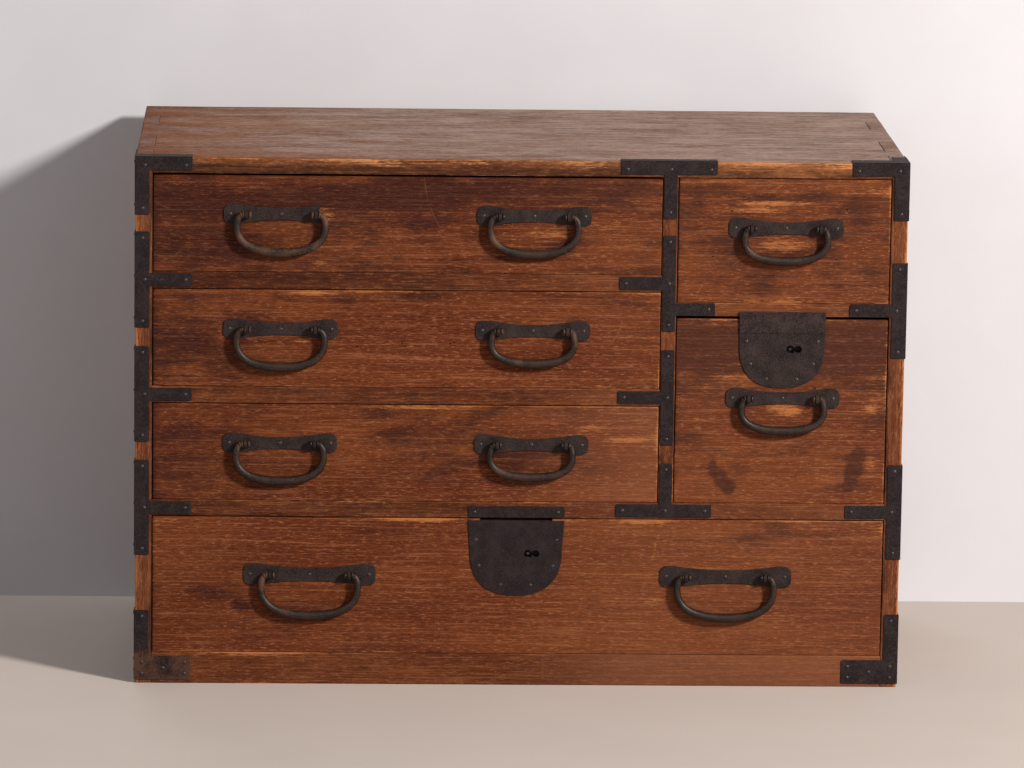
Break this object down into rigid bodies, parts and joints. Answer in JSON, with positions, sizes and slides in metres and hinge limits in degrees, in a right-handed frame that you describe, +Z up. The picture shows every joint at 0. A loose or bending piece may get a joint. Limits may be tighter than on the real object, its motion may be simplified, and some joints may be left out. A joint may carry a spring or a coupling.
{
  "type": "isho clothing chest",
  "caption": "Low free-standing wooden clothing chest with long and short sliding drawers, iron edge straps, drop handles on waisted plates and round plate locks.",
  "frame": {"origin": "on the floor, under the middle of the chest's width and of its boards' depth", "axes": "+X to the right seen from the front, +Y from the front to the back, +Z up"},
  "size_m": [0.8848, 0.4428, 0.6144],
  "materials": {
    "front_wood": "worn lacquer",
    "frame_wood": "worn lacquer",
    "side_wood": "worn lacquer",
    "top_wood": "dry, greyed",
    "inner_wood": "bare",
    "strap_iron": "matt black",
    "nail_iron": "matt black",
    "plate_iron": "matt black",
    "bail_iron": "satin, handled",
    "lock_iron": "dull"
  },
  "bodies": {
    "carcass": {"top_board": "top_wood", "left_side_board": "side_wood", "right_side_board": "side_wood", "strap_nails": "nail_iron", "base_rail": "frame_wood", "wide_rail": "frame_wood", "upper_left_rail": "frame_wood", "lower_left_rail": "frame_wood", "right_rail": "frame_wood", "centre_post": "frame_wood", "base_board": "inner_wood", "wide_shelf": "inner_wood", "short_shelves": "inner_wood", "drawer_runners": "inner_wood", "divider_board": "inner_wood", "back_boards": "inner_wood", "corner_irons": "strap_iron", "side_edge_irons": "strap_iron", "post_irons": "strap_iron", "lock_strike_strip": "strap_iron"},
    "top_left_drawer": {"top_left_drawer_front": "front_wood", "top_left_drawer_walls": "inner_wood", "top_left_drawer_bottom": "inner_wood", "top_left_drawer_handle_irons": "plate_iron"},
    "middle_left_drawer": {"middle_left_drawer_front": "front_wood", "middle_left_drawer_walls": "inner_wood", "middle_left_drawer_bottom": "inner_wood", "middle_left_drawer_handle_irons": "plate_iron"},
    "lower_left_drawer": {"lower_left_drawer_front": "front_wood", "lower_left_drawer_walls": "inner_wood", "lower_left_drawer_bottom": "inner_wood", "lower_left_drawer_handle_irons": "plate_iron"},
    "top_right_drawer": {"top_right_drawer_front": "front_wood", "top_right_drawer_walls": "inner_wood", "top_right_drawer_bottom": "inner_wood", "top_right_drawer_handle_irons": "plate_iron"},
    "deep_right_drawer": {"deep_right_drawer_front": "front_wood", "deep_right_drawer_walls": "inner_wood", "deep_right_drawer_bottom": "inner_wood", "deep_right_drawer_handle_irons": "plate_iron", "deep_right_drawer_lock_plate": "plate_iron", "deep_right_drawer_lock_case": "lock_iron"},
    "bottom_drawer": {"bottom_drawer_front": "front_wood", "bottom_drawer_walls": "inner_wood", "bottom_drawer_bottom": "inner_wood", "bottom_drawer_handle_irons": "plate_iron", "bottom_drawer_lock_plate": "plate_iron", "bottom_drawer_lock_case": "lock_iron"},
    "top_left_drawer_bail_left": {"top_left_drawer_bail_left": "bail_iron"},
    "top_left_drawer_bail_right": {"top_left_drawer_bail_right": "bail_iron"},
    "middle_left_drawer_bail_left": {"middle_left_drawer_bail_left": "bail_iron"},
    "middle_left_drawer_bail_right": {"middle_left_drawer_bail_right": "bail_iron"},
    "lower_left_drawer_bail_left": {"lower_left_drawer_bail_left": "bail_iron"},
    "lower_left_drawer_bail_right": {"lower_left_drawer_bail_right": "bail_iron"},
    "top_right_drawer_bail": {"top_right_drawer_bail": "bail_iron"},
    "deep_right_drawer_bail": {"deep_right_drawer_bail": "bail_iron"},
    "bottom_drawer_bail_left": {"bottom_drawer_bail_left": "bail_iron"},
    "bottom_drawer_bail_right": {"bottom_drawer_bail_right": "bail_iron"},
    "bottom_drawer_bolt": {"bottom_drawer_lock_bolt": "lock_iron"},
    "deep_right_drawer_bolt": {"deep_right_drawer_lock_bolt": "lock_iron"}
  },
  "joints": [
    {"name": "top_left_drawer_slide", "type": "slide", "parent": "carcass", "child": "top_left_drawer", "axis": [0, -1, 0], "range_m": [0, 0.33]},
    {"name": "middle_left_drawer_slide", "type": "slide", "parent": "carcass", "child": "middle_left_drawer", "axis": [0, -1, 0], "range_m": [0, 0.33]},
    {"name": "lower_left_drawer_slide", "type": "slide", "parent": "carcass", "child": "lower_left_drawer", "axis": [0, -1, 0], "range_m": [0, 0.33]},
    {"name": "top_right_drawer_slide", "type": "slide", "parent": "carcass", "child": "top_right_drawer", "axis": [0, -1, 0], "range_m": [0, 0.33]},
    {"name": "deep_right_drawer_slide", "type": "slide", "parent": "carcass", "child": "deep_right_drawer", "axis": [0, -1, 0], "range_m": [0, 0.33]},
    {"name": "bottom_drawer_slide", "type": "slide", "parent": "carcass", "child": "bottom_drawer", "axis": [0, -1, 0], "range_m": [0, 0.33]},
    {"name": "top_left_drawer_bail_left_swing", "type": "hinge", "parent": "top_left_drawer", "child": "top_left_drawer_bail_left", "pos_m": [-0.2745, -0.2225, 0.548], "axis": [-1, 0, 0], "range_deg": [0, 170]},
    {"name": "top_left_drawer_bail_right_swing", "type": "hinge", "parent": "top_left_drawer", "child": "top_left_drawer_bail_right", "pos_m": [0.0135, -0.2225, 0.548], "axis": [-1, 0, 0], "range_deg": [0, 170]},
    {"name": "middle_left_drawer_bail_left_swing", "type": "hinge", "parent": "middle_left_drawer", "child": "middle_left_drawer_bail_left", "pos_m": [-0.2745, -0.2225, 0.4155], "axis": [-1, 0, 0], "range_deg": [0, 170]},
    {"name": "middle_left_drawer_bail_right_swing", "type": "hinge", "parent": "middle_left_drawer", "child": "middle_left_drawer_bail_right", "pos_m": [0.0135, -0.2225, 0.4155], "axis": [-1, 0, 0], "range_deg": [0, 170]},
    {"name": "lower_left_drawer_bail_left_swing", "type": "hinge", "parent": "lower_left_drawer", "child": "lower_left_drawer_bail_left", "pos_m": [-0.2745, -0.2225, 0.283], "axis": [-1, 0, 0], "range_deg": [0, 170]},
    {"name": "lower_left_drawer_bail_right_swing", "type": "hinge", "parent": "lower_left_drawer", "child": "lower_left_drawer_bail_right", "pos_m": [0.0135, -0.2225, 0.283], "axis": [-1, 0, 0], "range_deg": [0, 170]},
    {"name": "top_right_drawer_bail_swing", "type": "hinge", "parent": "top_right_drawer", "child": "top_right_drawer_bail", "pos_m": [0.301, -0.2225, 0.5365], "axis": [-1, 0, 0], "range_deg": [0, 170]},
    {"name": "deep_right_drawer_bail_swing", "type": "hinge", "parent": "deep_right_drawer", "child": "deep_right_drawer_bail", "pos_m": [0.301, -0.2225, 0.3395], "axis": [-1, 0, 0], "range_deg": [0, 170]},
    {"name": "bottom_drawer_bail_left_swing", "type": "hinge", "parent": "bottom_drawer", "child": "bottom_drawer_bail_left", "pos_m": [-0.2395, -0.2225, 0.1295], "axis": [-1, 0, 0], "range_deg": [0, 170]},
    {"name": "bottom_drawer_bail_right_swing", "type": "hinge", "parent": "bottom_drawer", "child": "bottom_drawer_bail_right", "pos_m": [0.2395, -0.2225, 0.1295], "axis": [-1, 0, 0], "range_deg": [0, 170]},
    {"name": "bottom_drawer_bolt_slide", "type": "slide", "parent": "bottom_drawer", "child": "bottom_drawer_bolt", "axis": [0, 0, 1], "range_m": [0, 0.009]},
    {"name": "deep_right_drawer_bolt_slide", "type": "slide", "parent": "deep_right_drawer", "child": "deep_right_drawer_bolt", "axis": [0, 0, 1], "range_m": [0, 0.01]}
  ]
}
